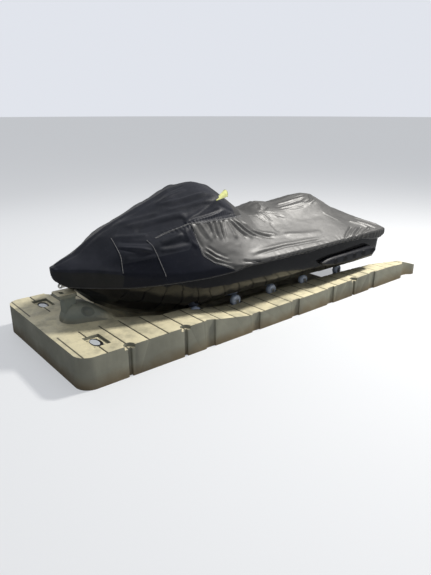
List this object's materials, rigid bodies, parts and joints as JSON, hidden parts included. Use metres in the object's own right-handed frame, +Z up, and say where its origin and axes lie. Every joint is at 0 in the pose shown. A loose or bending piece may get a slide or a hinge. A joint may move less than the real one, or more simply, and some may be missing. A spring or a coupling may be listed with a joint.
{
  "type": "covered personal watercraft on a drive-on float",
  "caption": "Three-seat jet-driven watercraft under a fitted cloth cover, resting on the side wheels of a moulded drive-on float with an open stern slot.",
  "frame": {"origin": "under the middle of the float, on its flat underside; the waterline is at z = 0.13", "axes": "+X to the bow, +Y to port, +Z up"},
  "size_m": [4.06, 1.38, 1.319],
  "materials": {
    "moulded_float": "sand coloured roto-moulded polyethylene, lightly textured",
    "bracket_metal": "satin anodised",
    "stainless_axle": "brushed",
    "hull_gloss": "polished black gelcoat",
    "deck_plastic": "moulded",
    "rub_rail": "matt black",
    "cover_cloth_front": "navy black woven polyester",
    "cover_cloth_middle": "navy black woven polyester, taut",
    "cover_cloth_rear": "charcoal grey woven polyester with wrinkles",
    "hem_band": "elastic hem",
    "vent_cloth": "lime woven polyester",
    "pump_metal": "cast, painted dark",
    "impeller_steel": "machined stainless steel",
    "plate_metal": "cast",
    "grate_metal": "cast",
    "nozzle_metal": "cast",
    "bucket_plastic": "glass-filled",
    "step_tube": "coated tube",
    "step_bracket_metal": "stainless",
    "sponson_plastic": "textured black",
    "eye_steel": "polished stainless",
    "plug_plastic": "moulded",
    "engine_metal": "plain block",
    "hub_plastic": "light grey moulded nylon",
    "wheel_tyre": "dark polyurethane"
  },
  "bodies": {
    "port_and_craft": {"bow_eye": "eye_steel", "bumper": "rub_rail", "cover_front": "cover_cloth_front", "cover_hem": "hem_band", "cover_middle": "cover_cloth_middle", "cover_rear": "cover_cloth_rear", "deck": "deck_plastic", "drain_plugs": "plug_plastic", "engine_block": "engine_metal", "front_brackets": "bracket_metal", "hull": "hull_gloss", "intake_grate": "grate_metal", "port_float": "moulded_float", "pump_housing": "pump_metal", "ride_plate": "plate_metal", "sponson_port": "sponson_plastic", "sponson_starboard": "sponson_plastic", "step_brackets": "step_bracket_metal", "stern_eyes": "eye_steel", "vent_hoods": "vent_cloth", "wheel_axles": "stainless_axle"},
    "impeller": {"impeller": "impeller_steel"},
    "steering_nozzle": {"steering_nozzle": "nozzle_metal"},
    "reverse_bucket": {"reverse_bucket": "bucket_plastic"},
    "boarding_step": {"boarding_step": "step_tube"},
    "wheel_port_1": {"hub_port_1": "hub_plastic", "tyre_port_1": "wheel_tyre"},
    "wheel_port_2": {"hub_port_2": "hub_plastic", "tyre_port_2": "wheel_tyre"},
    "wheel_port_3": {"hub_port_3": "hub_plastic", "tyre_port_3": "wheel_tyre"},
    "wheel_port_4": {"hub_port_4": "hub_plastic", "tyre_port_4": "wheel_tyre"},
    "wheel_port_5": {"hub_port_5": "hub_plastic", "tyre_port_5": "wheel_tyre"},
    "wheel_starboard_1": {"hub_starboard_1": "hub_plastic", "tyre_starboard_1": "wheel_tyre"},
    "wheel_starboard_2": {"hub_starboard_2": "hub_plastic", "tyre_starboard_2": "wheel_tyre"},
    "wheel_starboard_3": {"hub_starboard_3": "hub_plastic", "tyre_starboard_3": "wheel_tyre"},
    "wheel_starboard_4": {"hub_starboard_4": "hub_plastic", "tyre_starboard_4": "wheel_tyre"},
    "wheel_starboard_5": {"hub_starboard_5": "hub_plastic", "tyre_starboard_5": "wheel_tyre"}
  },
  "joints": [
    {"name": "wheel_port_1_spin", "type": "hinge", "parent": "port_and_craft", "child": "wheel_port_1", "pos_m": [0.862, 0.385, 0.31162], "axis": [0, 1, 0], "continuous": true},
    {"name": "wheel_port_2_spin", "type": "hinge", "parent": "port_and_craft", "child": "wheel_port_2", "pos_m": [0.419, 0.385, 0.31162], "axis": [0, 1, 0], "continuous": true},
    {"name": "wheel_port_3_spin", "type": "hinge", "parent": "port_and_craft", "child": "wheel_port_3", "pos_m": [-0.024, 0.385, 0.31162], "axis": [0, 1, 0], "continuous": true},
    {"name": "wheel_port_4_spin", "type": "hinge", "parent": "port_and_craft", "child": "wheel_port_4", "pos_m": [-0.467, 0.385, 0.31162], "axis": [0, 1, 0], "continuous": true},
    {"name": "wheel_port_5_spin", "type": "hinge", "parent": "port_and_craft", "child": "wheel_port_5", "pos_m": [-0.996, 0.385, 0.31162], "axis": [0, 1, 0], "continuous": true},
    {"name": "wheel_starboard_1_spin", "type": "hinge", "parent": "port_and_craft", "child": "wheel_starboard_1", "pos_m": [0.862, -0.385, 0.31162], "axis": [0, 1, 0], "continuous": true},
    {"name": "wheel_starboard_2_spin", "type": "hinge", "parent": "port_and_craft", "child": "wheel_starboard_2", "pos_m": [0.419, -0.385, 0.31162], "axis": [0, 1, 0], "continuous": true},
    {"name": "wheel_starboard_3_spin", "type": "hinge", "parent": "port_and_craft", "child": "wheel_starboard_3", "pos_m": [-0.024, -0.385, 0.31162], "axis": [0, 1, 0], "continuous": true},
    {"name": "wheel_starboard_4_spin", "type": "hinge", "parent": "port_and_craft", "child": "wheel_starboard_4", "pos_m": [-0.467, -0.385, 0.31162], "axis": [0, 1, 0], "continuous": true},
    {"name": "wheel_starboard_5_spin", "type": "hinge", "parent": "port_and_craft", "child": "wheel_starboard_5", "pos_m": [-0.996, -0.385, 0.31162], "axis": [0, 1, 0], "continuous": true},
    {"name": "impeller_spin", "type": "hinge", "parent": "port_and_craft", "child": "impeller", "pos_m": [-1.06, 0, 0.36], "axis": [1, 0, 0], "continuous": true},
    {"name": "nozzle_steer", "type": "hinge", "parent": "port_and_craft", "child": "steering_nozzle", "pos_m": [-1.345, 0, 0.36], "axis": [0, 0, 1], "range_deg": [-22, 22]},
    {"name": "bucket_lower", "type": "hinge", "parent": "port_and_craft", "child": "reverse_bucket", "pos_m": [-1.3, 0, 0.39], "axis": [0, -1, 0], "range_deg": [0, 65]},
    {"name": "step_fold", "type": "hinge", "parent": "port_and_craft", "child": "boarding_step", "pos_m": [-1.496, -0.35, 0.4], "axis": [0, -1, 0], "range_deg": [0, 165]}
  ]
}
